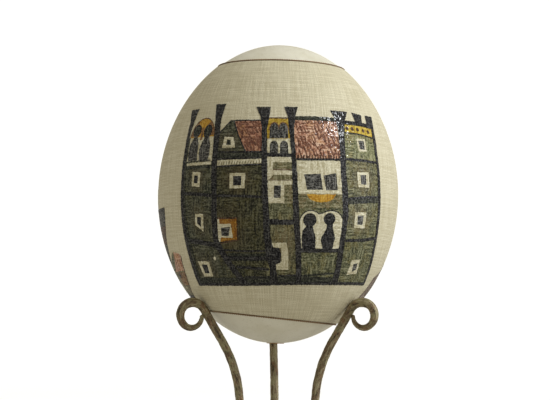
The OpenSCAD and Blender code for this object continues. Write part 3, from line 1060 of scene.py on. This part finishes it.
def rod_piece(name, node, centres, side, radii, closed, material):
    """A forged round rod along a path, where side is a way across the whole path."""
    along = np.gradient(centres, axis=0)
    along /= np.linalg.norm(along, axis=1)[:, None]
    turn = full_turn(ROD_SIDES)[:, None]
    outward = np.cross(along, side)[:, None] * np.cos(turn) + np.array(side) * np.sin(turn)
    length = np.arange(len(centres))[:, None] * ROD_STEP + centres[0, 0] * 10
    places = np.stack([ROD_R * np.cos(turn.T) + 0 * length, ROD_R * np.sin(turn.T) + 0 * length,
                       length + 0 * turn.T], axis=-1)
    points = centres[:, None] + outward * radii[:, None, None]
    faces = grid_faces(len(centres), ROD_SIDES, closed)
    iron_piece(name, node, points, outward, places, faces, material)


def along_bends(place, bends):
    """Places a step apart along a row of bends, from a place and heading on."""
    x, z, heading = place
    places = [(x, z)]
    for radius, turn in bends:
        length = radius * abs(turn) if turn else radius
        steps = round(length / ROD_STEP)
        half = turn / steps / 2
        chord = 2 * radius * abs(sin(half)) if turn else length / steps
        for _ in range(steps):
            x += chord * cos(heading + half)
            z += chord * sin(heading + half)
            heading += 2 * half
            places.append((x, z))
    return places


def leg_pieces(material):
    """The three legs, each one rod from the tip of its scroll to the tip of its foot."""
    x, z = profile(SEAT_ANGLE, LINEN_T + SEAT_PLAY + ROD_R + SCROLL[0][0])
    x -= SCROLL[0][0] * sin(LEG_SLOPE)
    z += SCROLL[0][0] * cos(LEG_SLOPE)
    scroll = along_bends((x, z, LEG_SLOPE), SCROLL)
    leg = along_bends((x, z, LEG_SLOPE + pi), LEG)
    path = np.array(scroll[:0:-1] + leg)
    path[:, 1] += ROD_R - FOOT_FLAT - path[:, 1].min()
    from_scroll = np.arange(len(path)) * ROD_STEP
    from_tip = np.minimum(from_scroll, from_scroll[::-1])
    radii = ROD_R * (TIP_SHARE + (1 - TIP_SHARE) * np.clip(from_tip / DRAWN_MM, 0, 1))
    radii *= 1 + SWELL * np.exp(-((from_scroll - SWELL_MM) / SWELL_REACH) ** 2)
    radii *= np.sqrt(1 - (1 - np.clip(from_tip / ROUND_MM, 0, 1)) ** 2)
    for name, azimuth in LEGS.items():
        out = np.array([cos(azimuth), sin(azimuth), 0])
        centres = path[:, :1] * out + path[:, 1:] * (0, 0, 1)
        side = (-out[1], out[0], 0)
        rod_piece("iron_leg_" + name, "leg_" + name, centres, side, radii, False, material)


def ring_pieces(material):
    """The ring round the stand's waist, and the weld beads that join it to the legs."""
    low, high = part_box("waist_ring")
    ring_r = high.x / MM - ROD_R
    level = (low.z + high.z) / 2 / MM
    steps = round(2 * pi * ring_r / ROD_STEP)
    angle = LEGS["back"] + full_turn(steps)
    centres = np.stack([ring_r * np.cos(angle), ring_r * np.sin(angle), level + 0 * angle], axis=-1)
    radii = np.full(steps, ROD_R)
    rod_piece("iron_ring", "waist_ring", centres, (0, 0, 1), radii, True, material)
    work = bmesh.new()
    bmesh.ops.create_icosphere(work, subdivisions=4, radius=1)
    outward = np.array([v.co for v in work.verts])
    bead = [[v.index for v in face.verts] for face in work.faces]
    work.free()
    middles = [(ring_r + ROD_R) * np.array([cos(a), sin(a), 0]) + (0, 0, level)
               for a in LEGS.values()]
    points = np.concatenate([middle + outward * BEAD_R for middle in middles])
    faces = [[k * len(outward) + i for i in face] for k in range(len(middles)) for face in bead]
    ways = np.tile(outward, (len(middles), 1))
    iron_piece("iron_welds", "weld_beads", points, ways, points * 1.6, faces, material)


# ---- Studio ----
def stage_piece():
    """A pale floor that curves up into a wall all round."""
    floor_r, bend_r, wall, sides = 1.3, 0.5, 1.2, 96
    turn = np.linspace(0, pi / 2, 17)
    r = np.concatenate([[0, 0.4, 0.8], floor_r + bend_r * np.sin(turn), [floor_r + bend_r]])
    z = np.concatenate([[0, 0, 0], bend_r * (1 - np.cos(turn)), [wall]])
    angle = full_turn(sides)
    points = np.stack([r[:, None] * np.sin(angle), -r[:, None] * np.cos(angle),
                       z[:, None] + 0 * angle], axis=-1).reshape(-1, 3)
    faces = grid_faces(len(r), sides, False)
    piece = in_scene("studio_floor", smooth_mesh("studio_floor", points, faces))
    merge_poles(piece)
    s = Shader("studio floor", Roughness=0.9, Specular_IOR_Level=0.1)
    away = s.add("VectorMath", {0: s.here()}, operation="LENGTH").outputs["Value"]
    glow = s.span(away, 300, 1200, 0.32, 0.57)
    mottle = s.mix(s.noise(s.here(), 0.004), (860, 860, 850), (880, 880, 870))
    material = s.finish(Base_Color=mottle, Emission_Color=(0.95, 0.97, 1, 1), Emission_Strength=glow)
    piece.data.materials.append(material)
    piece.visible_diffuse = False
    piece.visible_glossy = False


def soft_light(name, place, size, power, colour):
    """A square softbox that faces the egg's middle."""
    light = bpy.data.lights.new(name, "AREA")
    light.size = size
    light.energy = power
    light.color = colour
    lamp = in_scene(name, light)
    lamp.location = place
    away = Vector((0, 0, MIDDLE)) - lamp.location
    lamp.rotation_euler = away.to_track_quat("-Z", "Y").to_euler()


def warm_sky():
    """A faint warm light from all round."""
    world = bpy.data.worlds.new("studio")
    bpy.context.scene.world = world
    world.use_nodes = True
    sky = world.node_tree.nodes["Background"].inputs
    sky["Color"].default_value = (1, 0.945, 0.82, 1)
    sky["Strength"].default_value = 0.5


def camera():
    """The photograph's view: from the front and a little below the egg's middle."""
    distance, elevation = 0.9, radians(-4.1)
    data = bpy.data.cameras.new("camera")
    data.sensor_width = 36
    data.lens = 112.9
    data.clip_start = 0.01
    eye = in_scene("camera", data)
    eye.location = (0, -distance * cos(elevation), MIDDLE + distance * sin(elevation))
    aim = Vector((-0.00125, 0, MIDDLE - 0.0032))
    eye.rotation_euler = (aim - eye.location).to_track_quat("-Z", "Y").to_euler()
    bpy.context.scene.camera = eye


camera()
stage_piece()
soft_light("key", Vector((0.72, -0.31, 0.61)) * 1.2 + Vector((0, 0, MIDDLE)), 0.2, 8.5, (0.93, 0.96, 1))
soft_light("side", Vector((1.15, -0.2, 0.25)), 0.8, 4.2, (0.95, 0.97, 1))
warm_sky()
bpy.context.scene.view_settings.view_transform = "Standard"

shell_piece()
linen = linen_piece()
painting()
thread = cord_material()
cord_piece("top_thread", "top_cord", TOP_EDGE, TOP_SLANT, 1, thread)
cord_piece("bottom_thread", "bottom_cord", BOTTOM_EDGE, BOTTOM_SLANT, -1, thread)

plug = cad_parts["hole_plug"]
plug.data.materials.clear()
plug.data.materials.append(cork_material())

iron = iron_material()
leg_pieces(iron)
ring_pieces(iron)
